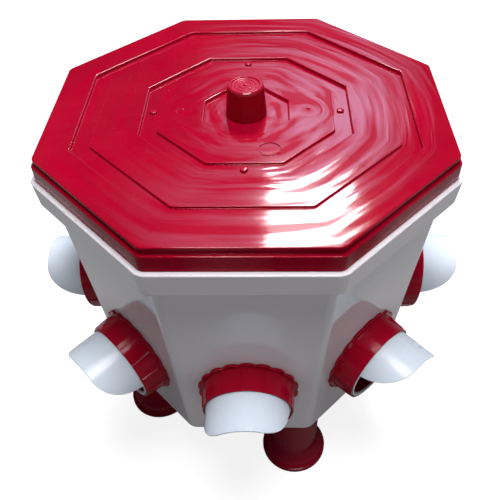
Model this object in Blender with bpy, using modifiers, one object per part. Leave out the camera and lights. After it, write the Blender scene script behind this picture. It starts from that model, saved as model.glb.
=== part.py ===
"""Poultry feeder: an eight-sided hopper on four legs, with eight hooded ports and a lift-off lid.

Metres, +Z up. The origin is on the ground under the hopper's middle, and the front is -Y.
"""
from math import atan2, cos, pi, radians, sin, sqrt, tan

import bmesh
import bpy
from mathutils import Euler, Matrix, Vector

# Touching pieces keep this much air between them.
GAP = 0.0003
SIDES = 8
CORNER = cos(pi / SIDES)

# Heights, each from the level named.
LEG_HEIGHT = 0.0960
BIN_HEIGHT = 0.2843
COLLAR_DROP = 0.0246
UPSTAND = 0.0077
LID_HEIGHT = 0.0230
KNOB_HEIGHT = 0.0249
PORT_RISE = 0.0929
BASE_Z = LEG_HEIGHT
RIM_Z = BASE_Z + BIN_HEIGHT
COLLAR_Z = RIM_Z - COLLAR_DROP
UPSTAND_Z = RIM_Z + UPSTAND
LID_TOP_Z = RIM_Z + LID_HEIGHT
KNOB_TOP_Z = LID_TOP_Z + KNOB_HEIGHT
PORT_Z = BASE_Z + PORT_RISE

# Hopper, in distances from the middle to a flat side.
BASE_APOTHEM = 0.1541
WALL_FLARE = 0.0223
COLLAR_OVERHANG = 0.0104
WALL = 0.0030
FLOOR = 0.0035
RIM_PLATE = 0.0030
COLLAR_WALL = 0.0026
HOPPER_ROUNDING = 0.0080
WALL_TAPER = WALL_FLARE / BIN_HEIGHT
WALL_TILT = atan2(WALL_TAPER, 1.0)
RIM_APOTHEM = BASE_APOTHEM + WALL_FLARE + COLLAR_OVERHANG

# Lid, again from the middle to a flat side.
RIM_LEDGE = 0.0044
LID_STEP = 0.0035
LID_LIP_OVERHANG = 0.0012
LID_LIP = 0.0026
LID_LIP_AND_NECK = 0.0072
LID_WALL = 0.0025
LID_ROUNDING = 0.0060
OUTER_CHANNEL = (0.1500, 0.1343)
INNER_CHANNEL = (0.0940, 0.0789)
CENTRE_APOTHEM = 0.0385
CHANNEL_DEPTH = 0.0030
PLATEAU_DROP = 0.0009
CENTRE_DROP = 0.0035
LID_SKIRT_APOTHEM = RIM_APOTHEM - RIM_LEDGE
LID_NECK_APOTHEM = LID_SKIRT_APOTHEM - LID_STEP
LID_EDGE_APOTHEM = LID_NECK_APOTHEM + LID_LIP_OVERHANG
LID_LEDGE_Z = LID_TOP_Z - LID_LIP_AND_NECK

# Knob in the middle of the lid.
KNOB_BASE_R = 0.0190
KNOB_SHOULDER_R = 0.0166
KNOB_TOP_R = 0.0146
KNOB_WALL = 0.0024
KNOB_BOSS_R = 0.0045
KNOB_SCREW_R = 0.0018
KNOB_SCREW_LENGTH = 0.0180

# Small heads in the lid's inner channel.
RIVET_RING_R = 0.0862
RIVET_HEAD_R = 0.0034
RIVET_HEAD = 0.0018
RIVET_SHANK_R = 0.0016
RIVET_SHANK = 0.0050

# Port tube with its hood, along its own axis from the wall's outer face.
TUBE_R = 0.0408
TUBE_WALL = 0.0020
THREAD_RISE = 0.0004
THREAD_END = 0.0240
TUBE_LIP = 0.0255
HOOD_REACH = 0.0625
HOOD_FLAT = radians(27.0)
HOOD_SPREAD = radians(84.0)
HOOD_ROOT = 0.0140
BAFFLE_REACH = 0.0340
BAFFLE_DROP = 0.0040
HOLE_CLEARANCE = 0.0008
FLANGE_LAP = 0.0060
FLANGE = 0.0030
GASKET = 0.0020
GASKET_INSET = 0.0005
SLEEVE_WALL = 0.0013
SLEEVE_SET_BACK = 0.0015
TUBE_SIDES = 28
THREAD_R = TUBE_R + THREAD_RISE
HOLE_R = THREAD_R + HOLE_CLEARANCE
FLANGE_R = HOLE_R + FLANGE_LAP
FLANGE_SEAT = -WALL - GASKET - 2 * GAP
SLEEVE_R = TUBE_R - TUBE_WALL - GAP

# Ring nut.
NUT_CLEARANCE = 0.0006
NUT_WALL = 0.0013
NUT_FLARE = 0.0019
NUT_LENGTH = 0.0248
NUT_FLANGE = 0.0026
NUT_FLANGE_LAP = 0.0029
NUT_LOBE = 0.0016
NUT_LOBES = 18
NUT_RIBS = 14
NUT_FIRST_RIB = radians(95.0)
RIB_WIDTH = 0.0016
RIB_HEIGHT = 0.0006
RIB_MARGIN = 0.0010
NUT_SIDES = 28
NUT_BORE_R = THREAD_R + NUT_CLEARANCE
NUT_FRONT_R = NUT_BORE_R + NUT_WALL
NUT_BACK_R = NUT_FRONT_R + NUT_FLARE
NUT_VALLEY_R = NUT_BACK_R + NUT_FLANGE_LAP
NUT_LOBE_R = NUT_VALLEY_R + NUT_LOBE

# Legs, under every other corner.
LEG_INSET = 0.0350
LEG_TOP_R = 0.0270
LEG_ANKLE_R = 0.0266
LEG_ANKLE_Z = 0.0250
FOOT_R = 0.0376
FOOT_RIM = 0.0040
LEG_WALL = 0.0024
LEG_PLATE = 0.0030
LEG_SIDES = 22
BOLT_R = 0.0025
BOLT_HEAD_R = 0.0050
BOLT_HEAD = 0.0035
BOLT_NUT_FLATS = 0.0080
BOLT_NUT = 0.0040
BOLT_TAIL = 0.0020
LEG_RING_R = BASE_APOTHEM / CORNER - LEG_INSET

# Cone on the floor.
CONE_R = 0.0930
CONE_HEIGHT = 0.0760
CONE_WALL = 0.0025
CONE_TIP_R = 0.0080
CONE_FOOT = 0.0040
CONE_BOSS_R = 0.0060
CONE_SCREW_R = 0.0020
CONE_SCREW_LENGTH = 0.0160

# Each port's compass angle, and how far its hood is turned from upright about its own axis.
PORTS = {
    "right": (0.0, 1.0),
    "back_right": (45.0, 4.0),
    "back": (90.0, -3.0),
    "back_left": (135.0, 5.0),
    "left": (180.0, -8.0),
    "front_left": (225.0, -3.0),
    "front": (270.0, 7.5),
    "front_right": (315.0, -20.0),
}
LEGS = {"right": 22.5, "back": 112.5, "left": 202.5, "front": 292.5}
RIVETS = {"right": 0.0, "back": 90.0, "left": 180.0, "front": 270.0}

WHITE = (0.80, 0.82, 0.86)
RED = (0.55, 0.005, 0.03)
DARK_RED = (0.30, 0.006, 0.025)
RUBBER = (0.03, 0.03, 0.03)
STEEL = (0.62, 0.62, 0.64)


def material(name, colour, roughness, metallic=0.0):
    made = bpy.data.materials.new(name)
    made.use_nodes = True
    shader = made.node_tree.nodes["Principled BSDF"]
    shader.inputs["Base Color"].default_value = (*colour, 1.0)
    shader.inputs["Roughness"].default_value = roughness
    shader.inputs["Metallic"].default_value = metallic
    return made


def new_object(name, mesh, collection, finish=None, parent=None):
    made = bpy.data.objects.new(name, mesh)
    collection.objects.link(made)
    made.parent = parent
    if finish is not None:
        mesh.materials.append(material(name, *finish))
    return made


def smooth(mesh, angle=35.0):
    mesh.shade_smooth()
    mesh.set_sharp_from_angle(angle=radians(angle))


def spun(profile, sides):
    """Turn an outline of (radius, height) points about Z into a closed shape."""
    mesh = bpy.data.meshes.new("outline")
    edges = [(i, i + 1) for i in range(len(profile) - 1)]
    if profile[0][0] > 0.0:
        edges.append((len(profile) - 1, 0))
    mesh.from_pydata([(radius, 0.0, height) for radius, height in profile], edges, [])
    outline = bpy.data.objects.new("outline", mesh)
    bpy.context.scene.collection.objects.link(outline)
    turning = outline.modifiers.new("turning", "SCREW")
    turning.axis = "Z"
    turning.angle = 2 * pi
    turning.steps = sides
    turning.render_steps = sides
    turning.use_merge_vertices = True
    turning.merge_threshold = 0.00001
    bpy.context.view_layer.update()
    graph = bpy.context.evaluated_depsgraph_get()
    shape = bmesh.new()
    shape.from_mesh(bpy.data.meshes.new_from_object(outline.evaluated_get(graph)))
    bpy.data.objects.remove(outline)
    bmesh.ops.remove_doubles(shape, verts=shape.verts, dist=1e-6)
    return shape


def finish_mesh(name, shape):
    mesh = bpy.data.meshes.new(name)
    shape.to_mesh(mesh)
    shape.free()
    smooth(mesh)
    return mesh


def turned(name, profile, sides, collection, finish, parent=None):
    return new_object(name, finish_mesh(name, spun(profile, sides)), collection, finish, parent)


def octagon(name, profile, rounded_from, rounding, collection, finish):
    """An eight-sided turned shape whose corners are rounded beyond a distance from the middle."""
    corners = [(apothem / CORNER, height) for apothem, height in profile]
    shape = spun(corners, SIDES)
    shape.transform(Matrix.Rotation(pi / SIDES, 4, "Z"))
    shape.normal_update()

    def is_corner(edge):
        a, b = (v.co.xy for v in edge.verts)
        outside = min(a.length, b.length) > rounded_from / CORNER
        return outside and a.normalized().dot(b.normalized()) > 0.999

    edges = [e for e in shape.edges if is_corner(e)]
    bmesh.ops.bevel(shape, geom=edges, offset=rounding * tan(pi / SIDES), offset_type="OFFSET",
                    segments=2, profile=0.5, affect="EDGES", clamp_overlap=True)
    bmesh.ops.dissolve_degenerate(shape, dist=1e-6, edges=shape.edges)
    return new_object(name, finish_mesh(name, shape), collection, finish)


def wall_apothem(height):
    return BASE_APOTHEM + (height - BASE_Z) * WALL_TAPER


def cylinder(shape, radius, length, sides, place):
    bmesh.ops.create_cone(shape, cap_ends=True, segments=sides, radius1=radius, radius2=radius,
                          depth=length, matrix=place)


def cut(target, cutter, operation="DIFFERENCE"):
    modifier = target.modifiers.new(cutter.name, "BOOLEAN")
    modifier.operation = operation
    modifier.solver = "EXACT"
    modifier.object = cutter


def hide_cutter(cutter):
    cutter.hide_render = True
    cutter.display_type = "WIRE"


def cutter_object(name, shape, collection, parent=None):
    mesh = bpy.data.meshes.new(name)
    shape.to_mesh(mesh)
    shape.free()
    made = new_object(name, mesh, collection, parent=parent)
    hide_cutter(made)
    return made


def outline_solid(name, points, half_depth, collection, parent=None):
    """A flat closed outline in its own XY plane, thickened both ways along Z."""
    curve = bpy.data.curves.new(name + "_outline", "CURVE")
    curve.dimensions = "2D"
    curve.fill_mode = "BOTH"
    curve.extrude = half_depth
    spline = curve.splines.new("POLY")
    spline.points.add(len(points) - 1)
    for point, (x, y) in zip(spline.points, points):
        point.co = (x, y, 0.0, 1.0)
    spline.use_cyclic_u = True
    flat = bpy.data.objects.new(name + "_outline", curve)
    collection.objects.link(flat)
    bpy.context.view_layer.update()
    graph = bpy.context.evaluated_depsgraph_get()
    mesh = bpy.data.meshes.new_from_object(flat.evaluated_get(graph))
    bpy.data.objects.remove(flat)
    shape = bmesh.new()
    shape.from_mesh(mesh)
    bmesh.ops.remove_doubles(shape, verts=shape.verts, dist=1e-6)
    bmesh.ops.recalc_face_normals(shape, faces=shape.faces)
    shape.to_mesh(mesh)
    shape.free()
    return new_object(name, mesh, collection, parent=parent)


def port_matrix(angle):
    """Frame of a port: Z out along its axis, Y up the wall, origin on the wall's outer face."""
    turn = radians(angle)
    apothem = wall_apothem(PORT_Z)
    place = Matrix.Translation((apothem * cos(turn), apothem * sin(turn), PORT_Z))
    return place @ Euler((pi / 2 + WALL_TILT, 0.0, turn + pi / 2)).to_matrix().to_4x4()


def hopper_profile():
    inner_base = BASE_APOTHEM - WALL + FLOOR * WALL_TAPER
    inner_top = wall_apothem(UPSTAND_Z) - WALL
    groove_top = RIM_Z - RIM_PLATE
    return [
        (0.0, BASE_Z + FLOOR),
        (inner_base, BASE_Z + FLOOR),
        (inner_top, UPSTAND_Z),
        (wall_apothem(UPSTAND_Z), UPSTAND_Z),
        (wall_apothem(RIM_Z), RIM_Z),
        (RIM_APOTHEM, RIM_Z),
        (wall_apothem(COLLAR_Z) + COLLAR_OVERHANG, COLLAR_Z),
        (wall_apothem(COLLAR_Z) + COLLAR_OVERHANG - COLLAR_WALL, COLLAR_Z),
        (wall_apothem(groove_top) + COLLAR_OVERHANG - COLLAR_WALL, groove_top),
        (wall_apothem(groove_top), groove_top),
        (BASE_APOTHEM, BASE_Z),
        (0.0, BASE_Z),
    ]


def make_hopper(parts, cutters):
    hopper = octagon("hopper", hopper_profile(), BASE_APOTHEM * 0.8, HOPPER_ROUNDING, parts,
                     (WHITE, 0.28))
    shape = bmesh.new()
    for angle, _ in PORTS.values():
        cylinder(shape, HOLE_R, WALL * 6, TUBE_SIDES, port_matrix(angle))
    cut(hopper, cutter_object("port_holes", shape, cutters))
    shape = bmesh.new()
    for x, y in leg_centres():
        cylinder(shape, BOLT_R + GAP, FLOOR * 6, 12, Matrix.Translation((x, y, BASE_Z)))
    cylinder(shape, CONE_SCREW_R + GAP, FLOOR * 6, 12, Matrix.Translation((0.0, 0.0, BASE_Z)))
    cut(hopper, cutter_object("floor_holes", shape, cutters))


def lid_profile():
    under = LID_WALL
    plateau_z = LID_TOP_Z - PLATEAU_DROP
    outer_z = LID_TOP_Z - CHANNEL_DEPTH
    inner_z = plateau_z - CHANNEL_DEPTH
    second_z = plateau_z - PLATEAU_DROP
    centre_z = LID_TOP_Z - CENTRE_DROP - PLATEAU_DROP
    skirt_z = RIM_Z + GAP
    o5, o4 = OUTER_CHANNEL
    o3, o2 = INNER_CHANNEL
    top = [
        (0.0, centre_z),
        (CENTRE_APOTHEM, centre_z),
        (CENTRE_APOTHEM, second_z),
        (o2, second_z),
        (o2, inner_z),
        (o3, inner_z),
        (o3, plateau_z),
        (o4, plateau_z),
        (o4, outer_z),
        (o5, outer_z),
        (o5, LID_TOP_Z),
        (LID_EDGE_APOTHEM, LID_TOP_Z),
        (LID_EDGE_APOTHEM, LID_TOP_Z - LID_LIP),
        (LID_NECK_APOTHEM, LID_TOP_Z - LID_LIP),
        (LID_NECK_APOTHEM, LID_LEDGE_Z),
        (LID_SKIRT_APOTHEM, LID_LEDGE_Z),
        (LID_SKIRT_APOTHEM, skirt_z),
    ]
    below = [
        (LID_SKIRT_APOTHEM - under, skirt_z),
        (LID_SKIRT_APOTHEM - under, LID_LEDGE_Z - under),
        (LID_NECK_APOTHEM - under, LID_LEDGE_Z - under),
        (LID_NECK_APOTHEM - under, LID_TOP_Z - under),
        (o5 + under, LID_TOP_Z - under),
        (o5 + under, outer_z - under),
        (o4 - under, outer_z - under),
        (o4 - under, plateau_z - under),
        (o3 + under, plateau_z - under),
        (o3 + under, inner_z - under),
        (o2 - under, inner_z - under),
        (o2 - under, second_z - under),
        (CENTRE_APOTHEM + under, second_z - under),
        (CENTRE_APOTHEM + under, centre_z - under),
        (0.0, centre_z - under),
    ]
    return top + below


def rivet_places():
    return {name: Vector((RIVET_RING_R * cos(radians(a)), RIVET_RING_R * sin(radians(a)), 0.0))
            for name, a in RIVETS.items()}


def make_lid(parts, cutters):
    lid = octagon("lid", lid_profile(), OUTER_CHANNEL[0] * 1.1, LID_ROUNDING, parts, (RED, 0.22))
    shape = bmesh.new()
    for place in rivet_places().values():
        centre = place + Vector((0.0, 0.0, LID_TOP_Z))
        cylinder(shape, RIVET_SHANK_R + GAP, LID_WALL * 8, 12, Matrix.Translation(centre))
    centre = Matrix.Translation((0.0, 0.0, LID_TOP_Z))
    cylinder(shape, KNOB_SCREW_R + GAP, LID_WALL * 8, 12, centre)
    cut(lid, cutter_object("lid_holes", shape, cutters))


def channel_floor_z():
    return LID_TOP_Z - PLATEAU_DROP - CHANNEL_DEPTH


def make_rivets(parts):
    seat = channel_floor_z() + GAP
    profile = [
        (0.0, seat + RIVET_HEAD),
        (RIVET_HEAD_R * 0.75, seat + RIVET_HEAD),
        (RIVET_HEAD_R, seat + RIVET_HEAD * 0.55),
        (RIVET_HEAD_R, seat),
        (RIVET_SHANK_R, seat),
        (RIVET_SHANK_R, seat - RIVET_SHANK),
        (0.0, seat - RIVET_SHANK),
    ]
    for name, place in rivet_places().items():
        rivet = turned("lid_rivet_" + name, profile, 12, parts, (RED, 0.25))
        rivet.location = place


def knob_seat_z():
    return LID_TOP_Z - CENTRE_DROP - PLATEAU_DROP + GAP


def make_knob(parts):
    seat = knob_seat_z()
    top = KNOB_TOP_Z
    roof = top - 0.0030
    profile = [
        (0.0, top - 0.0002),
        (0.0016, top - 0.0002),
        (0.0026, top - 0.0010),
        (KNOB_TOP_R - 0.0022, top - 0.0010),
        (KNOB_TOP_R - 0.0014, top),
        (KNOB_TOP_R, top),
        (KNOB_SHOULDER_R - 0.0005, top - 0.0011),
        (KNOB_SHOULDER_R, top - 0.0028),
        (KNOB_BASE_R, seat),
        (KNOB_BASE_R - KNOB_WALL, seat),
        (KNOB_SHOULDER_R - KNOB_WALL, roof - 0.0010),
        (KNOB_BOSS_R, roof - 0.0010),
        (KNOB_BOSS_R, seat),
        (KNOB_SCREW_R + GAP, seat),
        (KNOB_SCREW_R + GAP, roof - 0.0050),
        (0.0, roof - 0.0050),
    ]
    turned("lid_knob", profile, 24, parts, (RED, 0.22))
    under_lid = LID_TOP_Z - CENTRE_DROP - PLATEAU_DROP - LID_WALL - GAP
    screw("knob_screw", parts, KNOB_SCREW_R, KNOB_SCREW_LENGTH, under_lid, up=True)


def screw(name, parts, radius, length, seat, up, head_r=None, head=None):
    """A pan-head screw on the Z axis whose head bears on the height `seat`."""
    head_r = head_r or radius * 2.0
    head = head or radius * 1.2
    way = 1.0 if up else -1.0
    profile = [
        (0.0, seat + way * length),
        (radius * 0.7, seat + way * length),
        (radius, seat + way * (length - radius * 0.6)),
        (radius, seat),
        (head_r, seat),
        (head_r, seat - way * head * 0.5),
        (head_r * 0.7, seat - way * head),
        (0.0, seat - way * head),
    ]
    if not up:
        profile.reverse()
    return turned(name, profile, 12, parts, (STEEL, 0.35, 1.0))


def hood_outline():
    """Side view of what is cut away in front of a hood: X is up the tube, Y is out along it."""
    steps = 9
    edge = []
    for i in range(steps + 1):
        share = i / steps
        angle = HOOD_FLAT + (HOOD_SPREAD - HOOD_FLAT) * share
        reach = HOOD_ROOT + (HOOD_REACH - HOOD_ROOT) * sqrt(max(0.0, 1.0 - share * share))
        edge.append((TUBE_R * cos(angle), max(reach, TUBE_LIP)))
    far = HOOD_REACH + 0.010
    low = -TUBE_R - 0.010
    return [(low, TUBE_LIP), (low, far), (edge[0][0], far)] + edge


def baffle_outline():
    """Side view of what is cut away behind the inner flange, below the inner hood."""
    start = FLANGE_SEAT - FLANGE
    low = -TUBE_R - 0.010
    far = -BAFFLE_REACH - 0.020
    return [(low, start), (BAFFLE_DROP, start), (BAFFLE_DROP + 0.004, start - 0.006),
            (BAFFLE_DROP + 0.004, far), (low, far)]


def tube_profile():
    bore = TUBE_R - TUBE_WALL
    return [
        (TUBE_R, HOOD_REACH),
        (TUBE_R, THREAD_END),
        (THREAD_R, THREAD_END),
        (THREAD_R, FLANGE_SEAT),
        (FLANGE_R, FLANGE_SEAT),
        (FLANGE_R, FLANGE_SEAT - FLANGE),
        (TUBE_R, FLANGE_SEAT - FLANGE),
        (TUBE_R, -BAFFLE_REACH),
        (bore, -BAFFLE_REACH),
        (bore, HOOD_REACH),
    ]


def side_cutter(name, points, cutters, parent):
    """A cutter whose outline is drawn in a port's upright middle plane."""
    made = outline_solid(name, points, FLANGE_R * 1.25, cutters, parent)
    made.matrix_local = Matrix(((0, 0, 1, 0), (1, 0, 0, 0), (0, 1, 0, 0), (0, 0, 0, 1)))
    hide_cutter(made)
    return made


def sleeve_profile():
    """The red sleeve that lines a port tube, from its inner flange to just short of its lip."""
    inner, outer = FLANGE_SEAT - FLANGE, TUBE_LIP - SLEEVE_SET_BACK
    bore = SLEEVE_R - SLEEVE_WALL
    return [(SLEEVE_R, outer), (SLEEVE_R, inner), (bore, inner), (bore, outer)]


def gasket_profile():
    outer = -WALL - GAP
    inner = outer - GASKET
    rim = FLANGE_R - GASKET_INSET
    return [(rim, outer), (rim, inner), (HOLE_R + GAP, inner), (HOLE_R + GAP, outer)]


def lobe_outline():
    """The scalloped flange: flat lobes with a notch between each two, and a lobe on top."""
    points = []
    for i in range(NUT_LOBES * 3):
        angle = 2 * pi * i / (NUT_LOBES * 3)
        radius = NUT_VALLEY_R if i % 3 == 0 else NUT_LOBE_R
        points.append((radius * cos(angle), radius * sin(angle)))
    return points


def nut_mesh(parts, cutters):
    """The ring nut about Z from its flange at Z = 0, joined from ring, flange and ribs."""
    inside = NUT_BORE_R - NUT_WALL
    ring = spun([(NUT_FRONT_R, NUT_LENGTH), (NUT_BACK_R, 0.0), (inside, 0.0),
                 (inside, NUT_LENGTH)], NUT_SIDES)
    blank = new_object("nut_blank", finish_mesh("nut_blank", ring), cutters)
    flange = outline_solid("nut_flange", lobe_outline(), NUT_FLANGE / 2, cutters)
    flange.location.z = NUT_FLANGE / 2
    hide_cutter(flange)
    cut(blank, flange, "UNION")
    shape = bmesh.new()
    tip = Matrix.Rotation(-atan2(NUT_BACK_R - NUT_FRONT_R, NUT_LENGTH), 4, "Y")
    for i in range(NUT_RIBS):
        turn = Matrix.Rotation(NUT_FIRST_RIB + 2 * pi * i / NUT_RIBS, 4, "Z")
        middle = 0.5 * (NUT_BACK_R + NUT_FRONT_R)
        place = turn @ Matrix.Translation((middle, 0.0, NUT_LENGTH / 2))
        size = Matrix.Diagonal((2 * RIB_HEIGHT, RIB_WIDTH, NUT_LENGTH - 2 * RIB_MARGIN, 1.0))
        bmesh.ops.create_cube(shape, size=1.0, matrix=place @ tip @ size)
    cut(blank, cutter_object("nut_ribs", shape, cutters), "UNION")
    shape = bmesh.new()
    cylinder(shape, NUT_BORE_R, NUT_LENGTH * 4, NUT_SIDES, Matrix.Identity(4))
    cut(blank, cutter_object("nut_bore", shape, cutters))
    bpy.context.view_layer.update()
    graph = bpy.context.evaluated_depsgraph_get()
    mesh = bpy.data.meshes.new_from_object(blank.evaluated_get(graph))
    mesh.name = "ring_nut"
    hide_cutter(blank)
    smooth(mesh, 30.0)
    return mesh


def make_ports(parts, cutters):
    tube = finish_mesh("visor", spun(tube_profile(), TUBE_SIDES))
    sleeve = finish_mesh("port_sleeve", spun(sleeve_profile(), TUBE_SIDES))
    gasket = finish_mesh("gasket", spun(gasket_profile(), 20))
    nut = nut_mesh(parts, cutters)
    tube.materials.append(material("visor", WHITE, 0.30))
    sleeve.materials.append(material("port_sleeve", DARK_RED, 0.25))
    gasket.materials.append(material("gasket", RUBBER, 0.80))
    nut.materials.append(material("ring_nut", RED, 0.25))
    for name, (angle, roll) in PORTS.items():
        port = bpy.data.objects.new("port_" + name, None)
        parts.objects.link(port)
        port.matrix_world = port_matrix(angle)
        visor = new_object("visor_" + name, tube, parts, parent=port)
        visor.rotation_euler.z = radians(roll)
        cut(visor, side_cutter("hood_cut_" + name, hood_outline(), cutters, visor))
        cut(visor, side_cutter("baffle_cut_" + name, baffle_outline(), cutters, visor))
        lining = new_object("port_sleeve_" + name, sleeve, parts, parent=port)
        lining.rotation_euler.z = radians(roll)
        new_object("gasket_" + name, gasket, parts, parent=port)
        ring = new_object("ring_nut_" + name, nut, parts, parent=port)
        ring.location.z = GAP


def leg_centres():
    return [(LEG_RING_R * cos(radians(a)), LEG_RING_R * sin(radians(a))) for a in LEGS.values()]


def leg_profile():
    """Hollow leg about Z, from its top plate down over the flare to the foot's rim."""
    top = BASE_Z - GAP
    flare = []
    steps = 4
    for i in range(steps + 1):
        turn = 0.5 * pi * i / steps
        out = (FOOT_R - LEG_ANKLE_R) * (1.0 - cos(turn))
        down = (LEG_ANKLE_Z - FOOT_RIM) * sin(turn)
        flare.append((LEG_ANKLE_R + out, LEG_ANKLE_Z - down))
    inner = [(radius - LEG_WALL, height - LEG_WALL * 0.4) for radius, height in reversed(flare)]
    return ([(BOLT_R + GAP, top), (LEG_TOP_R, top)] + flare
            + [(FOOT_R, 0.0), (FOOT_R - LEG_WALL, 0.0)] + inner
            + [(LEG_TOP_R - LEG_WALL, top - LEG_PLATE), (BOLT_R + GAP, top - LEG_PLATE)])


def nut_block(name, parts, seat):
    """A hexagon nut on the Z axis, hanging down from the height `seat`."""
    radius = BOLT_NUT_FLATS / 2 / cos(pi / 6)
    bore = (BOLT_R + GAP) / cos(pi / 6)
    profile = [(radius, seat), (radius, seat - BOLT_NUT), (bore, seat - BOLT_NUT), (bore, seat)]
    shape = spun(profile, 6)
    return new_object(name, finish_mesh(name, shape), parts, (STEEL, 0.35, 1.0))


def make_legs(parts):
    floor_top = BASE_Z + FLOOR + GAP
    plate_under = BASE_Z - GAP - LEG_PLATE - GAP
    length = floor_top - plate_under + BOLT_NUT + BOLT_TAIL
    for (name, _), (x, y) in zip(LEGS.items(), leg_centres()):
        leg = turned("leg_" + name, leg_profile(), LEG_SIDES, parts, (DARK_RED, 0.30))
        bolt = screw("leg_bolt_" + name, parts, BOLT_R, length, floor_top, up=False,
                     head_r=BOLT_HEAD_R, head=BOLT_HEAD)
        nut = nut_block("leg_nut_" + name, parts, plate_under)
        for piece in (leg, bolt, nut):
            piece.location = (x, y, 0.0)


def make_cone(parts):
    seat = BASE_Z + FLOOR + GAP
    tip = seat + CONE_HEIGHT
    drop = CONE_WALL * 1.3
    profile = [
        (0.0, tip),
        (CONE_TIP_R, tip - 0.0030),
        (CONE_R, seat + CONE_FOOT),
        (CONE_R, seat),
        (CONE_R - CONE_WALL, seat),
        (CONE_R - CONE_WALL, seat + CONE_FOOT - 0.0010),
        (CONE_BOSS_R, tip - 0.0030 - drop),
        (CONE_BOSS_R, seat),
        (CONE_SCREW_R + GAP, seat),
        (CONE_SCREW_R + GAP, seat + CONE_SCREW_LENGTH),
        (0.0, seat + CONE_SCREW_LENGTH),
    ]
    turned("feed_cone", profile, 24, parts, (WHITE, 0.35))
    screw("cone_screw", parts, CONE_SCREW_R, CONE_SCREW_LENGTH, BASE_Z - GAP, up=True)


def clear_scene():
    for old in list(bpy.data.objects):
        bpy.data.objects.remove(old, do_unlink=True)


def main():
    clear_scene()
    parts = bpy.data.collections.new("poultry_feeder")
    cutters = bpy.data.collections.new("cutters")
    for collection in (parts, cutters):
        bpy.context.scene.collection.children.link(collection)
    make_hopper(parts, cutters)
    make_lid(parts, cutters)
    make_rivets(parts)
    make_knob(parts)
    make_ports(parts, cutters)
    make_legs(parts)
    make_cone(parts)


main()
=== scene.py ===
"""Looks of the poultry feeder: moulded hopper, lid, knob, hooded ports, ring nuts and legs."""
from math import atan2, cos, pi, radians, sin, sqrt, tan

import bmesh
import bpy
from mathutils import Euler, Matrix, Vector


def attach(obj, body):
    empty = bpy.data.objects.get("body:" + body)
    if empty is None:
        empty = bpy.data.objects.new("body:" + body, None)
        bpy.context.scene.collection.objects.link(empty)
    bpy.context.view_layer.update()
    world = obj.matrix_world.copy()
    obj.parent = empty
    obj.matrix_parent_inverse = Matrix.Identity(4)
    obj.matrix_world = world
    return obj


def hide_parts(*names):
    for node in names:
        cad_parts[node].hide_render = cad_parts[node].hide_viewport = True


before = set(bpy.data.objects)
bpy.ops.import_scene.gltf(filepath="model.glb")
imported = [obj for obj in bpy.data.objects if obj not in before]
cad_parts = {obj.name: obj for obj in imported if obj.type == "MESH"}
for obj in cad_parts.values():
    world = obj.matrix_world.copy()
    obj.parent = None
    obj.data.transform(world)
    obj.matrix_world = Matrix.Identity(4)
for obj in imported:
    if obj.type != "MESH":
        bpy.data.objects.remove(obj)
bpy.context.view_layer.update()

# Sizes in metres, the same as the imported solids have. Pieces that touch keep GAP between them.
GAP = 0.0003
CORNER = cos(pi / 8)

# Heights above the ground.
BASE_Z = 0.0960
PORT_Z = 0.1889
COLLAR_Z = 0.3557
RIM_Z = 0.3803
UPSTAND_Z = 0.3880
LID_LEDGE_Z = 0.3961
LID_TOP_Z = 0.4033
KNOB_TOP_Z = 0.4282

# Hopper, in distances from the middle to a flat side.
BASE_APOTHEM = 0.1541
RIM_APOTHEM = 0.1868
TAPER = 0.0223 / 0.2843
OVERHANG = 0.0104
WALL = 0.0030
FLOOR = 0.0035
RIM_PLATE = 0.0030
COLLAR_WALL = 0.0026
HOPPER_ROUNDING = 0.0130
HOPPER_INSIDE = 0.130
HOPPER_OUTSIDE = 0.300

# Lid, again from the middle to a flat side, with the levels of its top.
LID_EDGE = 0.1801
LID_NECK = 0.1789
LID_SKIRT = 0.1824
LID_LIP = 0.0026
LID_WALL = 0.0025
OUTER_CHANNEL = (0.1500, 0.1343)
INNER_CHANNEL = (0.0940, 0.0789)
CENTRE_RECESS = 0.0385
LEVEL_STEP = 0.0009
CHANNEL_DEPTH = 0.0030
CENTRE_DEPTH = 0.0044
PLATEAU_Z = LID_TOP_Z - LEVEL_STEP
SECOND_Z = PLATEAU_Z - LEVEL_STEP
OUTER_FLOOR_Z = LID_TOP_Z - CHANNEL_DEPTH
INNER_FLOOR_Z = PLATEAU_Z - CHANNEL_DEPTH
CENTRE_Z = LID_TOP_Z - CENTRE_DEPTH
# Each level's corners lie between two distances, and get a radius in so many segments.
LID_ROUNDINGS = (
    (0.1650, 0.2770, 0.0075, 6),
    (0.1240, 0.1575, 0.0040, 4),
    (0.0710, 0.1030, 0.0030, 4),
    (0.0300, 0.0460, 0.0025, 4),
)

# Traces of moulding on the lid.
DISC_PLACE = (0.0213, -0.0606)
GATES = ((-0.0585, 0.0012), (0.0567, 0.0020))
GATE_DISTANCE = 0.0575
WELD_LINES = (
    ((0.0818, -0.0674), (0.0995, -0.0862), PLATEAU_Z),
    ((0.1512, -0.0187), (0.1588, -0.0200), LID_TOP_Z),
)
WELD_WIDTH = 0.0006
WELD_HEIGHT = 0.00012
WELD_DEPTH = 0.0010

# Rivets and knob.
RIVET_RING_R = 0.0862
RIVET_HEAD_R = 0.0034
RIVET_HEAD = 0.0018
RIVET_SHANK_R = 0.0016
RIVET_SHANK = 0.0050
RIVET_HOLE_R = 0.0019
KNOB_TOP_R = 0.0146
KNOB_SHOULDER_R = 0.0166
KNOB_BASE_R = 0.0190
KNOB_WALL = 0.0024
KNOB_BOSS_R = 0.0045
KNOB_HOLE_R = 0.0021
KNOB_DISH = 0.0010
KNOB_RINGS = (0.0048, 0.0088)

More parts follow.
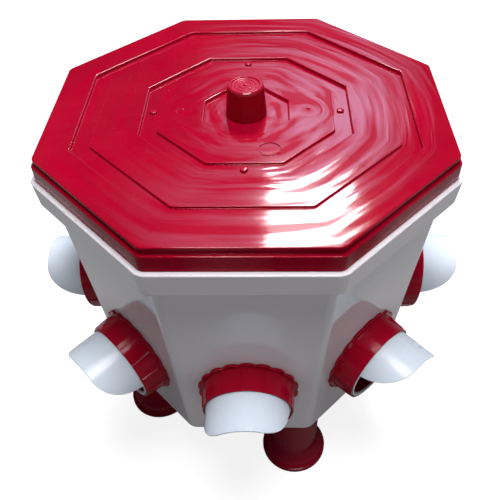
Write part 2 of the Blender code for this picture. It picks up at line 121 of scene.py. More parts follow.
# Port tube with its hood, along its own axis from the wall's outer face.
TUBE_R = 0.0408
TUBE_WALL = 0.0020
TUBE_LIP = 0.0255
THREAD_R = 0.0412
THREAD_END = 0.0240
HOOD_REACH = 0.0625
HOOD_FLAT = radians(27)
HOOD_SPREAD = radians(84)
HOOD_ROOT = 0.0140
HOLE_R = 0.0420
FLANGE_R = 0.0480
FLANGE = 0.0030
FLANGE_SEAT = -0.0056
BAFFLE_REACH = 0.0340
BAFFLE_START = 0.0045
BAFFLE_SLOPE = 0.0060
BAFFLE_LEAST = 0.0006
VISOR_COLUMNS = 180
HOOD_EDGE_Z = 0.050
BAFFLE_EDGE_Z = -0.030
SLEEVE_WALL = 0.0013
SLEEVE_SET_BACK = 0.0015
GASKET = 0.0020
GASKET_INSET = 0.0005

# Ring nut: 18 lobes of 7 columns round its flange, and 14 ribs, one in every 9 columns.
NUT_BORE_R = 0.0418
NUT_FRONT_R = 0.0431
NUT_BACK_R = 0.0450
NUT_LENGTH = 0.0248
NUT_FLANGE = 0.0026
NUT_LOBE_R = 0.0495
NUT_VALLEY_R = 0.0468
NUT_COLUMNS = 126
LOBE_COLUMNS = 7
LOBE_SHARES = (1.0, 0.55, 0.12)
LOBES_FROM_R = 0.0480
RIB_COLUMNS = 9
FIRST_RIB = 6
RIBS_FROM_R = 0.0425
RIB_FROM_FLANGE = 0.0010
RIB_FROM_FRONT = 0.0012
RIB_INSET = 0.0008
RIB_HEIGHT = 0.0009
NUT_EDGE_BREAK = 0.00016

# Legs with their bolts and nuts.
LEG_RING_R = 0.1318
LEG_TOP_R = 0.0270
LEG_ANKLE_R = 0.0266
LEG_ANKLE_Z = 0.0250
FOOT_R = 0.0376
FOOT_RIM = 0.0040
LEG_WALL = 0.0024
LEG_PLATE = 0.0030
BOLT_R = 0.0025
BOLT_HOLE_R = 0.0028
BOLT_HEAD_R = 0.0050
BOLT_HEAD = 0.0035
BOLT_SOCKET_R = 0.0023
BOLT_TAIL = 0.0060
HEXAGON_FLAT = 0.0040
HEXAGON_HEIGHT = 0.0040
HEXAGON_EDGE_BREAK = 0.00035

# Cone on the floor.
CONE_R = 0.0930
CONE_HEIGHT = 0.0760
CONE_WALL = 0.0025
CONE_FOOT = 0.0040
CONE_TIP_R = 0.0080
CONE_TIP_DROP = 0.0030
CONE_ROOF = 0.00325
CONE_BOSS_R = 0.0060
CONE_HOLE_R = 0.0023
CONE_HOLE = 0.0160

# Small screws: radius, length, head radius, head height, socket radius.
KNOB_SCREW = (0.0018, 0.0180, 0.0036, 0.00216, 0.0014)
CONE_SCREW = (0.0020, 0.0160, 0.0040, 0.0024, 0.0016)

# Each port's compass angle, and how far its hood is turned from upright about its own axis.
PORTS = {
    "right": (0.0, 1.0),
    "back_right": (45.0, 4.0),
    "back": (90.0, -3.0),
    "back_left": (135.0, 5.0),
    "left": (180.0, -8.0),
    "front_left": (225.0, -3.0),
    "front": (270.0, 7.5),
    "front_right": (315.0, -20.0),
}
LEGS = {"right": 22.5, "back": 112.5, "left": 202.5, "front": 292.5}
RIVETS = {"right": 0.0, "back": 90.0, "left": 180.0, "front": 270.0}

# Resolution of the turned pieces.
SMALL_SIDES = 24
ROUND_SIDES = 96


# Modelling

def choose(piece):
    bpy.ops.object.select_all(action="DESELECT")
    piece.select_set(True)
    bpy.context.view_layer.objects.active = piece


def start_editing(piece, kind="VERT"):
    choose(piece)
    bpy.ops.object.mode_set(mode="EDIT")
    bpy.ops.mesh.select_mode(type=kind)
    bpy.ops.mesh.select_all(action="DESELECT")


def stop_editing():
    bpy.ops.object.mode_set(mode="OBJECT")


def pick(kind, test):
    """In edit mode, select and count the vertices, edges or faces that pass the test."""
    mesh = bpy.context.object.data
    bpy.ops.mesh.select_all(action="DESELECT")
    shape = bmesh.from_edit_mesh(mesh)
    items = {"VERT": shape.verts, "EDGE": shape.edges, "FACE": shape.faces}[kind]
    found = 0
    for item in items:
        if test(item):
            item.select_set(True)
            found += 1
    shape.select_flush_mode()
    bmesh.update_edit_mesh(mesh, loop_triangles=False, destructive=False)
    return found


def apply_place(piece):
    choose(piece)
    bpy.ops.object.transform_apply(location=True, rotation=True, scale=True)


def apply_modifier(piece, kind, **settings):
    modifier = piece.modifiers.new(kind.lower(), kind)
    for key, value in settings.items():
        setattr(modifier, key, value)
    choose(piece)
    bpy.ops.object.modifier_apply(modifier=modifier.name)


def soften(corners, steps=4):
    """Points of an outline whose corners (x, z, radius) are rounded into arcs."""
    points = []
    for i, (x, z, radius) in enumerate(corners):
        here = Vector((x, z))
        if radius == 0.0:
            points.append((x, z))
            continue
        a = (Vector(corners[i - 1][:2]) - here).normalized()
        b = (Vector(corners[(i + 1) % len(corners)][:2]) - here).normalized()
        half = a.angle(b) / 2
        centre = here + (a + b).normalized() * (radius / sin(half))
        start = here + a * (radius / tan(half)) - centre
        end = here + b * (radius / tan(half)) - centre
        turn = start.angle_signed(end)
        for k in range(steps + 1):
            points.append(tuple(centre + Matrix.Rotation(-turn * k / steps, 2) @ start))
    return points


def drawn_outline(name, points):
    """An edge chain in the XZ plane, drawn by extruding one vertex from point to point."""
    bpy.ops.object.select_all(action="DESELECT")
    bpy.ops.mesh.primitive_plane_add(size=0.001, location=(points[0][0], 0.0, points[0][1]))
    piece = bpy.context.object
    piece.name = name
    piece.data.name = name
    apply_place(piece)
    bpy.ops.object.mode_set(mode="EDIT")
    bpy.ops.mesh.select_mode(type="VERT")
    bpy.ops.mesh.select_all(action="SELECT")
    bpy.ops.mesh.merge(type="CENTER")
    for (x0, z0), (x1, z1) in zip(points, points[1:]):
        step = {"value": (x1 - x0, 0.0, z1 - z0)}
        bpy.ops.mesh.extrude_vertices_move(TRANSFORM_OT_translate=step)
    stop_editing()
    return piece


def turned(name, points, steps, closed=False):
    """A shape turned about Z from an outline: open from axis to axis, or closed on itself."""
    piece = drawn_outline(name, points + points[:1] if closed else points)
    start_editing(piece)
    bpy.ops.mesh.select_all(action="SELECT")
    bpy.ops.mesh.spin(steps=steps, angle=2 * pi, center=(0, 0, 0), axis=(0, 0, 1),
                      use_auto_merge=True)
    bpy.ops.mesh.select_all(action="SELECT")
    bpy.ops.mesh.remove_doubles(threshold=0.00001)
    bpy.ops.mesh.normals_make_consistent(inside=False)
    stop_editing()
    return piece


def round_corners(piece, nearest, farthest, radius, segments):
    """Round the eight corners between two distances from the middle."""
    def along_corner(edge):
        a, b = (v.co.xy for v in edge.verts)
        if not nearest < min(a.length, b.length) or not max(a.length, b.length) < farthest:
            return False
        turns = (atan2(a.y, a.x) / (pi / 4) - 0.5, atan2(b.y, b.x) / (pi / 4) - 0.5)
        on_corners = all(abs(t - round(t)) < 0.0005 for t in turns)
        return on_corners and a.normalized().dot(b.normalized()) > 0.999

    start_editing(piece, "EDGE")
    pick("EDGE", along_corner)
    bpy.ops.mesh.bevel(offset=radius * tan(pi / 8), offset_type="OFFSET", segments=segments,
                       profile=0.5, clamp_overlap=False)
    stop_editing()


def eight_sided(name, corners, steps=4, closed=False):
    points = [(x / CORNER, z) for x, z in soften(corners, steps)]
    piece = turned(name, points, 8, closed)
    piece.rotation_euler.z = pi / 8
    apply_place(piece)
    return piece


def drilled(piece, radius, depth, places, sides):
    """Drill round holes of one size at the given places, along each place's own Z."""
    drills = []
    for place in places:
        bpy.ops.object.select_all(action="DESELECT")
        bpy.ops.mesh.primitive_cylinder_add(vertices=sides, radius=radius, depth=depth)
        drill = bpy.context.object
        drill.matrix_world = place
        drills.append(drill)
    choose(drills[0])
    for drill in drills:
        drill.select_set(True)
    bpy.ops.object.join()
    drill = bpy.context.object
    apply_modifier(piece, "BOOLEAN", operation="DIFFERENCE", solver="EXACT", object=drill)
    bpy.data.objects.remove(drill)


def broken_edges(piece, width, angle):
    """Break the edges that are sharper than an angle."""
    apply_modifier(piece, "BEVEL", width=width, segments=2, limit_method="ANGLE",
                   angle_limit=radians(angle))


def shaded(piece, angle=32.0):
    """Smooth over the soft edges, with normals that keep the flats flat."""
    choose(piece)
    bpy.ops.object.shade_smooth_by_angle(angle=radians(angle))
    apply_modifier(piece, "WEIGHTED_NORMAL", keep_sharp=True, weight=50)
    return piece


def copied(piece, name, place):
    other = piece.copy()
    other.data = piece.data.copy()
    other.name = name
    other.data.name = name
    bpy.context.scene.collection.objects.link(other)
    other.matrix_world = place
    apply_place(other)
    return other


def fitted(piece, finish, body, slot, *nodes):
    """Give a piece its material and body; hide the nodes it stands for. The slot is not used."""
    piece.data.materials.clear()
    piece.data.materials.append(finish)
    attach(piece, body)
    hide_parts(*nodes)


def wall_apothem(height):
    return BASE_APOTHEM + (height - BASE_Z) * TAPER


def port_place(angle, roll=0.0, out=0.0):
    """Frame of a port: Z out along its axis, Y up the wall, origin on the wall's outer face."""
    turn = radians(angle)
    apothem = wall_apothem(PORT_Z)
    place = Matrix.Translation((apothem * cos(turn), apothem * sin(turn), PORT_Z))
    place = place @ Euler((pi / 2 + atan2(TAPER, 1), 0.0, turn + pi / 2)).to_matrix().to_4x4()
    return place @ Matrix.Rotation(radians(roll), 4, "Z") @ Matrix.Translation((0, 0, out))


def at(x, y, z=0.0):
    return Matrix.Translation((x, y, z))


def around(radius, angle):
    return at(radius * cos(radians(angle)), radius * sin(radians(angle)))


# Material building blocks

def add(tree, kind, inputs=None, **settings):
    made = tree.nodes.new("ShaderNode" + kind)
    for key, value in settings.items():
        setattr(made, key, value)
    for key, value in (inputs or {}).items():
        if isinstance(value, bpy.types.NodeSocket):
            tree.links.new(value, made.inputs[key])
        else:
            made.inputs[key].default_value = value
    return made


def calc(tree, operation, a, b=0.0, c=0.0, clamp=False):
    return add(tree, "Math", {0: a, 1: b, 2: c}, operation=operation, use_clamp=clamp).outputs[0]


def spread(tree, value, low, high, to_low=0.0, to_high=1.0):
    """Carry a value from one range to another, held at its ends."""
    return add(tree, "MapRange", {"Value": value, "From Min": low, "From Max": high,
                                  "To Min": to_low, "To Max": to_high}).outputs["Result"]


def mixed(tree, factor, a, b):
    """A colour between two."""
    return add(tree, "Mix", {"Factor": factor, 6: a, 7: b}, data_type="RGBA").outputs[2]


def between(tree, factor, a, b):
    """A value between two."""
    return add(tree, "Mix", {"Factor": factor, 2: a, 3: b}, data_type="FLOAT").outputs[0]


def noise(tree, vector, scale, detail=2.0, roughness=0.5, distortion=0.0):
    return add(tree, "TexNoise", {"Vector": vector, "Scale": scale, "Detail": detail,
                                  "Roughness": roughness, "Distortion": distortion}).outputs["Fac"]


def product(tree, first, *others):
    for other in others:
        first = calc(tree, "MULTIPLY", first, other)
    return first


def component(tree, vector, axis):
    return add(tree, "SeparateXYZ", {"Vector": vector}).outputs[axis]


def facing_up(tree):
    return component(tree, add(tree, "NewGeometry").outputs["Normal"], "Z")


def length_of(tree, vector):
    return add(tree, "VectorMath", {0: vector}, operation="LENGTH").outputs["Value"]


def flattened(tree, x, y):
    """A vector in the plane of the lid."""
    return add(tree, "CombineXYZ", {"X": x, "Y": y, "Z": 0.0}).outputs[0]


def own_place(tree):
    return add(tree, "TexCoord").outputs["Object"]


def new_group(name, inputs, outputs):
    tree = bpy.data.node_groups.new(name, "ShaderNodeTree")
    for key, value in inputs.items():
        socket = tree.interface.new_socket(key, in_out="INPUT", socket_type="NodeSocketFloat")
        socket.default_value = value
    for key in outputs:
        tree.interface.new_socket(key, in_out="OUTPUT", socket_type="NodeSocketFloat")
    return tree, tree.nodes.new("NodeGroupInput"), tree.nodes.new("NodeGroupOutput")


def colour_drift_group():
    """Slow patches in which a moulding's colour drifts from one shade to another."""
    tree, _, result = new_group("colour_drift", {}, ["Shade"])
    patches = noise(tree, own_place(tree), scale=9.0, detail=4.0, roughness=0.55)
    tree.links.new(spread(tree, patches, 0.3, 0.7), result.inputs["Shade"])
    return tree


def moulded_skin_group():
    """Fine grain that a moulding takes from its tool, and slow waves from its cooling."""
    tree, given, result = new_group("moulded_skin", {"Grain": 1.0, "Waves": 1.0},
                                    ["Height", "Gloss"])
    where = own_place(tree)
    grain = noise(tree, where, scale=1100.0, detail=2.0, roughness=0.6)
    waves = noise(tree, where, scale=26.0, detail=1.0, roughness=0.4)
    fine = product(tree, calc(tree, "SUBTRACT", grain, 0.5), given.outputs["Grain"])
    slow = product(tree, calc(tree, "SUBTRACT", waves, 0.5), given.outputs["Waves"])
    tree.links.new(calc(tree, "ADD", product(tree, fine, 0.02), slow), result.inputs["Height"])
    patches = noise(tree, where, scale=38.0, detail=4.0, roughness=0.6)
    tree.links.new(spread(tree, patches, 0.35, 0.68), result.inputs["Gloss"])
    return tree


def scuffs_group():
    """Thin scratches in two directions, broken up into short strokes."""
    tree, given, result = new_group("scuffs", {"Amount": 1.0}, ["Mask"])
    where = own_place(tree)
    strokes = []
    for turn, stretch in (((0.4, 0.2, 0.6), (900.0, 45.0, 60.0)),
                          ((1.1, 0.7, -0.8), (60.0, 800.0, 40.0))):
        placed = add(tree, "Mapping", {"Vector": where, "Rotation": turn, "Scale": stretch})
        line = noise(tree, placed.outputs[0], scale=1.0, detail=1.0, roughness=0.5, distortion=0.3)
        strokes.append(spread(tree, line, 0.70, 0.76))
    both = calc(tree, "MAXIMUM", *strokes)
    areas = spread(tree, noise(tree, where, scale=17.0, detail=3.0, roughness=0.6), 0.48, 0.66)
    mask = calc(tree, "MULTIPLY", product(tree, both, areas), given.outputs["Amount"], clamp=True)
    tree.links.new(mask, result.inputs["Mask"])
    return tree


def dust_group():
    """Pale dust that settles on upward faces and gathers in soft patches."""
    tree, given, result = new_group("settled_dust", {"Amount": 1.0}, ["Mask"])
    where = own_place(tree)
    level = spread(tree, facing_up(tree), 0.2, 0.95)
    cloud = spread(tree, noise(tree, where, scale=21.0, detail=6.0, roughness=0.65), 0.42, 0.74)
    speck = spread(tree, noise(tree, where, scale=620.0, detail=1.0, roughness=0.5), 0.66, 0.72)
    both = calc(tree, "ADD", product(tree, cloud, 0.6), product(tree, speck, 0.5))
    mask = calc(tree, "MULTIPLY", product(tree, both, level), given.outputs["Amount"], clamp=True)
    tree.links.new(mask, result.inputs["Mask"])
    return tree


def draw_marks_group():
    """Faint upright streaks where a part slid out of its tool."""
    tree, _, result = new_group("draw_marks", {}, ["Height"])
    placed = add(tree, "Mapping", {"Vector": own_place(tree), "Scale": (120.0, 120.0, 6.0)})
    streaks = noise(tree, placed.outputs[0], scale=1.0, detail=3.0, roughness=0.6)
    tree.links.new(streaks, result.inputs["Height"])
    return tree


COLOUR_DRIFT = colour_drift_group()
MOULDED_SKIN = moulded_skin_group()
SCUFFS = scuffs_group()
DUST = dust_group()
DRAW_MARKS = draw_marks_group()

DUST_COLOUR = (0.62, 0.58, 0.52, 1.0)
SKIN_DEPTH = 0.00006
SCRATCH_DEPTH = 0.00004
SUBSURFACE_REACH = 0.004


def use(tree, group, **inputs):
    made = tree.nodes.new("ShaderNodeGroup")
    made.node_tree = group
    for key, value in inputs.items():
        made.inputs[key].default_value = value
    return made.outputs


def new_material(name, **settings):
    made = bpy.data.materials.new(name)
    made.use_nodes = True
    shader = made.node_tree.nodes["Principled BSDF"]
    for key, value in settings.items():
        shader.inputs[key.replace("_", " ")].default_value = value
    return made, made.node_tree, shader


def bumped(tree, height, strength, depth, normal=None, invert=False):
    """The surface's normal, tilted by a height of so many metres."""
    inputs = {"Height": height, "Strength": strength, "Distance": depth}
    if normal is not None:
        inputs["Normal"] = normal
    return add(tree, "Bump", inputs, invert=invert).outputs["Normal"]


def plastic(name, dark, light, roughness, grain, waves, scuffs, dust, specular=0.5, relief=None,
            relief_depth=0.0, glint=None, painted_top_light=None, edge_highlight=0.0, subsurface=0.0):
    """A moulded plastic: colour that drifts between two shades, gloss that varies, fine bump."""
    made, tree, shader = new_material(name, Specular_IOR_Level=specular)
    if subsurface:
        shader.inputs["Subsurface Weight"].default_value = subsurface
        shader.inputs["Subsurface Radius"].default_value = (1.0, 0.8, 0.7)
        shader.inputs["Subsurface Scale"].default_value = SUBSURFACE_REACH
    drift = use(tree, COLOUR_DRIFT)["Shade"]
    skin = use(tree, MOULDED_SKIN, Grain=grain, Waves=waves)
    marks = use(tree, SCUFFS, Amount=scuffs)["Mask"]
    dusty = use(tree, DUST, Amount=dust)["Mask"]

    colour = mixed(tree, drift, (*dark, 1.0), (*light, 1.0))
    scratched = (*(0.5 + 0.5 * c for c in light), 1.0)
    colour = mixed(tree, product(tree, marks, 0.35), colour, scratched)
    colour = mixed(tree, dusty, colour, DUST_COLOUR)
    # Painted highlight: sharp edges and rib crests, found by their pointiness, are mixed towards a
    # paler colour.
    if edge_highlight:
        pointed = add(tree, "NewGeometry").outputs["Pointiness"]
        highlight_tint = (*(0.3 + 0.7 * c for c in light), 1.0)
        colour = mixed(tree, spread(tree, pointed, 0.55, 0.62, 0.0, edge_highlight), colour, highlight_tint)
    # Painted highlight: upward faces are mixed towards a paler colour, so the top looks lit from
    # above and the sides look darker.
    if painted_top_light:
        top_light_mask = product(tree, spread(tree, facing_up(tree), 0.5, 0.95),
                          spread(tree, drift, 0.0, 1.0, 0.7, 1.0))
        colour = mixed(tree, top_light_mask, colour, (*painted_top_light, 1.0))
    tree.links.new(colour, shader.inputs["Base Color"])

    gloss = spread(tree, skin["Gloss"], 0.0, 1.0, roughness * 0.85, roughness * 1.2)
    gloss = calc(tree, "ADD", gloss, product(tree, marks, 0.25))
    gloss = calc(tree, "ADD", gloss, product(tree, dusty, 0.4), clamp=True)
    tree.links.new(gloss, shader.inputs["Roughness"])

    normal = bumped(tree, skin["Height"], 1.0, SKIN_DEPTH)
    if relief is not None:
        height = relief(tree)
        normal = bumped(tree, height, 1.0, relief_depth, normal)
        if glint:
            sheen = product(tree, spread(tree, height, 0.38, 0.62, *glint),
                            spread(tree, facing_up(tree), 0.2, 0.9, 0.25, 1.0))
            tree.links.new(sheen, shader.inputs["Specular IOR Level"])
    normal = bumped(tree, marks, 0.35, SCRATCH_DEPTH, normal, invert=True)
    tree.links.new(normal, shader.inputs["Normal"])
    return made


def draw_marks(tree):
    return use(tree, DRAW_MARKS)["Height"]


def turning_rings(tree):
    """Fine rings about the middle, as left by turning the tool."""
    where = own_place(tree)
    flat = flattened(tree, component(tree, where, "X"), component(tree, where, "Y"))
    return calc(tree, "SINE", product(tree, length_of(tree, flat), 9000.0))


def curled(tree, where, far):
    """Bend the flow into rings about the two gates that the plastic came in by."""
    out = calc(tree, "ABSOLUTE", component(tree, where, "X"))
    aside = calc(tree, "SUBTRACT", out, GATE_DISTANCE)
    near = length_of(tree, flattened(tree, aside, component(tree, where, "Y")))
    uneven = calc(tree, "MULTIPLY_ADD", noise(tree, where, scale=42.0, detail=1.0), 0.024,
                  product(tree, near, 1.1))
    pull = spread(tree, near, 0.007, 0.024, 0.6, 0.0)
    return between(tree, pull, far, uneven)


def flow_marks(tree):
    """Ripples that follow the lid's outline, as the plastic flowed outwards from its middle."""
    where = own_place(tree)
    along_x, along_y = component(tree, where, "X"), component(tree, where, "Y")
    x, y = calc(tree, "ABSOLUTE", along_x), calc(tree, "ABSOLUTE", along_y)
    slant = product(tree, calc(tree, "ADD", x, y), sqrt(0.5))
    eight_sided_way = calc(tree, "MAXIMUM", calc(tree, "MAXIMUM", x, y), slant)
    flat = flattened(tree, along_x, along_y)
    round_way = product(tree, length_of(tree, flat), 0.96)
    far = between(tree, 0.5, round_way, eight_sided_way)
    way = add(tree, "VectorMath", {0: flat}, operation="NORMALIZE").outputs["Vector"]
    bent = add(tree, "CombineXYZ", {"X": product(tree, curled(tree, where, far), 100.0),
                                    "Y": product(tree, component(tree, way, "X"), 1.5),
                                    "Z": product(tree, component(tree, way, "Y"), 1.5)}).outputs[0]
    ripples = noise(tree, bent, scale=1.0, detail=1.2, roughness=0.4, distortion=0.15)
    other = add(tree, "Mapping", {"Vector": bent, "Location": (5.0, 3.0, 8.0),
                                  "Scale": (2.1, 1.5, 1.5)}).outputs[0]
    ridges = noise(tree, other, scale=1.0, detail=1.0, roughness=0.4, distortion=0.2)
    return calc(tree, "MULTIPLY_ADD", spread(tree, ridges, 0.60, 0.78), 0.12, ripples)


def steel_finish():
    made, tree, shader = new_material("zinc_plated_steel", Metallic=1.0)
    crystals = noise(tree, own_place(tree), scale=300.0, detail=3.0, roughness=0.6)
    patch = spread(tree, crystals, 0.35, 0.7)
    tree.links.new(mixed(tree, patch, (0.55, 0.55, 0.56, 1.0), (0.74, 0.73, 0.70, 1.0)),
                   shader.inputs["Base Color"])
    marks = use(tree, SCUFFS, Amount=0.8)["Mask"]
    rough = spread(tree, patch, 0.0, 1.0, 0.26, 0.42)
    tree.links.new(calc(tree, "ADD", rough, product(tree, marks, 0.2)), shader.inputs["Roughness"])
    tree.links.new(bumped(tree, patch, 0.4, 0.00003), shader.inputs["Normal"])
    return made


def rubber_finish():
    made, tree, shader = new_material("gasket_rubber", Specular_IOR_Level=0.4)
    where = own_place(tree)
    bloom = spread(tree, noise(tree, where, scale=130.0, detail=5.0, roughness=0.65), 0.4, 0.75)
    tree.links.new(mixed(tree, bloom, (0.018, 0.018, 0.019, 1.0), (0.07, 0.068, 0.064, 1.0)),
                   shader.inputs["Base Color"])
    tree.links.new(spread(tree, bloom, 0.0, 1.0, 0.55, 0.8), shader.inputs["Roughness"])
    grain = noise(tree, where, scale=1600.0, detail=2.0, roughness=0.6)
    tree.links.new(bumped(tree, grain, 0.5, 0.00005), shader.inputs["Normal"])
    return made


LID_RED = plastic("lid_red_plastic", dark=(0.295, 0.0005, 0.015), light=(0.355, 0.0008, 0.019),
                  roughness=0.085, grain=0.3, waves=0.4, scuffs=0.06, dust=0.01,
                  relief=flow_marks, relief_depth=0.00038, glint=(0.08, 0.86))
# The knob's paler top is a painted highlight from the light overhead.
KNOB_RED = plastic("knob_red_plastic", dark=(0.23, 0.001, 0.006), light=(0.27, 0.0015, 0.009),
                   roughness=0.13, grain=0.4, waves=0.4, scuffs=0.08, dust=0.01, specular=0.3,
                   relief=turning_rings, relief_depth=0.000004, painted_top_light=(0.42, 0.005, 0.032))
# The nut's pale rib crests and edges are a painted highlight.
NUT_RED = plastic("ring_nut_red_plastic", dark=(0.35, 0.0008, 0.017), light=(0.41, 0.0015, 0.021),
                  roughness=0.12, grain=0.6, waves=1.0, scuffs=0.2, dust=0.01, specular=0.12,
                  edge_highlight=0.5)
LEG_RED = plastic("leg_dark_red_plastic", dark=(0.24, 0.0008, 0.016), light=(0.29, 0.0015, 0.020),
                  roughness=0.14, grain=1.0, waves=1.0, scuffs=0.25, dust=0.02, specular=0.12,
                  relief=draw_marks, relief_depth=0.00008)
# Painted shade: a dark red lining inside each white tube. It stands for the shade in the tube and
# the nut's red light seen through the tube's thin wall.
SHADE_LINING_RED = plastic("painted_shade_lining", dark=(0.15, 0.001, 0.006),
                     light=(0.19, 0.0015, 0.009), roughness=0.16, grain=0.6, waves=0.8,
                     scuffs=0.15, dust=0.03, specular=0.45)
HOPPER_WHITE = plastic("hopper_white_plastic", dark=(0.85, 0.82, 0.87), light=(0.89, 0.86, 0.91),
                       roughness=0.05, grain=0.4, waves=0.7, scuffs=0.2, dust=0.02)
VISOR_WHITE = plastic("visor_white_plastic", dark=(0.76, 0.85, 0.98), light=(0.80, 0.88, 1.0),
                      roughness=0.24, grain=0.8, waves=1.0, scuffs=0.3, dust=0.03, specular=0.4,
                      relief=draw_marks, relief_depth=0.00005, subsurface=0.1)
STEEL = steel_finish()
RUBBER = rubber_finish()


# Hopper

def hopper_corners():
    groove = RIM_Z - RIM_PLATE
    inner_base = BASE_APOTHEM - WALL + FLOOR * TAPER
    inner_top = wall_apothem(UPSTAND_Z) - WALL
    inner_collar = OVERHANG - COLLAR_WALL
    return [
        (0.0, BASE_Z + FLOOR, 0.0),
        (inner_base, BASE_Z + FLOOR, 0.0030),
        (inner_top, UPSTAND_Z, 0.0008),
        (wall_apothem(UPSTAND_Z), UPSTAND_Z, 0.0008),
        (wall_apothem(RIM_Z), RIM_Z, 0.0006),
        (RIM_APOTHEM, RIM_Z, 0.0012),
        (wall_apothem(COLLAR_Z) + OVERHANG, COLLAR_Z, 0.0014),
        (wall_apothem(COLLAR_Z) + inner_collar, COLLAR_Z, 0.0006),
        (wall_apothem(groove) + inner_collar, groove, 0.0010),
        (wall_apothem(groove), groove, 0.0010),
        (BASE_APOTHEM, BASE_Z, 0.0025),
        (0.0, BASE_Z, 0.0),
    ]


def make_hopper():
    hopper = eight_sided("hopper_bin", hopper_corners())
    round_corners(hopper, HOPPER_INSIDE, HOPPER_OUTSIDE, HOPPER_ROUNDING, 6)
    ports = [port_place(angle) for angle, _ in PORTS.values()]
    drilled(hopper, HOLE_R, WALL * 6, ports, 64)
    spots = [around(LEG_RING_R, angle) @ at(0, 0, BASE_Z) for angle in LEGS.values()]
    drilled(hopper, BOLT_HOLE_R, FLOOR * 6, spots, SMALL_SIDES)
    drilled(hopper, CONE_HOLE_R, FLOOR * 6, [at(0, 0, BASE_Z)], SMALL_SIDES)
    fitted(shaded(hopper), HOPPER_WHITE, "bin", "white_plastic", "hopper")


# Lid, its rivets and its knob

def lid_corners():
    w = LID_WALL
    o5, o4 = OUTER_CHANNEL
    o3, o2 = INNER_CHANNEL
    skirt = RIM_Z + GAP
    return [
        (0.0, CENTRE_Z, 0.0),
        (CENTRE_RECESS, CENTRE_Z, 0.0004),
        (CENTRE_RECESS, SECOND_Z, 0.0012),
        (o2, SECOND_Z, 0.0005),
        (o2, INNER_FLOOR_Z, 0.0004),
        (o3, INNER_FLOOR_Z, 0.0004),
        (o3, PLATEAU_Z, 0.0012),
        (o4, PLATEAU_Z, 0.0005),
        (o4, OUTER_FLOOR_Z, 0.0004),
        (o5, OUTER_FLOOR_Z, 0.0004),
        (o5, LID_TOP_Z, 0.0012),
        (LID_EDGE, LID_TOP_Z, 0.0009),
        (LID_EDGE, LID_TOP_Z - LID_LIP, 0.0005),
        (LID_NECK, LID_TOP_Z - LID_LIP, 0.0003),
        (LID_NECK, LID_LEDGE_Z, 0.0004),
        (LID_SKIRT, LID_LEDGE_Z, 0.0010),
        (LID_SKIRT, skirt, 0.0004),
        (LID_SKIRT - w, skirt, 0.0004),
        (LID_SKIRT - w, LID_LEDGE_Z - w, 0.0003),
        (LID_NECK - w, LID_LEDGE_Z - w, 0.0003),
        (LID_NECK - w, LID_TOP_Z - w, 0.0008),
        (o5 + w, LID_TOP_Z - w, 0.0004),
        (o5 + w, OUTER_FLOOR_Z - w, 0.0004),
        (o4 - w, OUTER_FLOOR_Z - w, 0.0004),
        (o4 - w, PLATEAU_Z - w, 0.0004),
        (o3 + w, PLATEAU_Z - w, 0.0004),
        (o3 + w, INNER_FLOOR_Z - w, 0.0004),
        (o2 - w, INNER_FLOOR_Z - w, 0.0004),
        (o2 - w, SECOND_Z - w, 0.0004),
        (CENTRE_RECESS + w, SECOND_Z - w, 0.0004),
        (CENTRE_RECESS + w, CENTRE_Z - w, 0.0004),
        (0.0, CENTRE_Z - w, 0.0),
    ]


def joined(piece, extra, operation="UNION"):
    """Grow a piece by another shape, or cut the shape out of it."""
    apply_modifier(piece, "BOOLEAN", operation=operation, solver="EXACT", object=extra)
    bpy.data.objects.remove(extra)


def weld_line(start, end, top):
    """A hair of plastic along a line on the lid, sunk in except for its back."""
    middle, way = (Vector(start) + Vector(end)) / 2, Vector(end) - Vector(start)
    height = top + WELD_HEIGHT - WELD_DEPTH / 2
    bpy.ops.object.select_all(action="DESELECT")
    bpy.ops.mesh.primitive_cube_add(size=1.0, location=(middle.x, middle.y, height),
                                    rotation=(0.0, 0.0, atan2(way.y, way.x)),
                                    scale=(way.length, WELD_WIDTH, WELD_DEPTH))
    line = bpy.context.object
    apply_place(line)
    return line


def add_mould_traces(lid):
    """A bare stamped disc, the two gates that the plastic came in by, and two weld lines."""
    rim = [(0.0097, 0.0002, 0.0001), (0.0104, 0.0002, 0.0001), (0.0107, -0.0006, 0.0),
           (0.0097, -0.0006, 0.0)]
    groove = [(0.0085, 0.0010, 0.0), (0.0097, 0.0010, 0.0), (0.0097, -0.0006, 0.0),
              (0.0087, -0.0006, 0.0)]
    gate = [(0.0, 0.0003, 0.0), (0.0008, 0.0003, 0.0002), (0.0012, 0.0008, 0.0002),
            (0.0018, -0.0002, 0.0003), (0.0020, -0.0008, 0.0), (0.0, -0.0008, 0.0)]
    for outline, operation in ((rim, "UNION"), (groove, "DIFFERENCE")):
        ring = turned("disc_ring", soften(outline, 2), 64, closed=True)
        ring.matrix_world = at(*DISC_PLACE, SECOND_Z)
        apply_place(ring)
        joined(lid, ring, operation)
    for x, y in GATES:
        stub = turned("gate_stub", soften(gate, 2), SMALL_SIDES)
        stub.matrix_world = at(x, y, SECOND_Z)
        apply_place(stub)
        joined(lid, stub)
    for start, end, top in WELD_LINES:
        joined(lid, weld_line(start, end, top))


def make_lid():
    lid = eight_sided("lid_cover", lid_corners())
    for nearest, farthest, radius, segments in LID_ROUNDINGS:
        round_corners(lid, nearest / CORNER, farthest / CORNER, radius, segments)
    add_mould_traces(lid)
    spots = [around(RIVET_RING_R, angle) @ at(0, 0, LID_TOP_Z) for angle in RIVETS.values()]
    drilled(lid, RIVET_HOLE_R, LID_WALL * 8, spots, SMALL_SIDES)
    drilled(lid, KNOB_HOLE_R, LID_WALL * 8, [at(0, 0, LID_TOP_Z)], SMALL_SIDES)
    fitted(shaded(lid), LID_RED, "lid_group", "red_plastic", "lid")


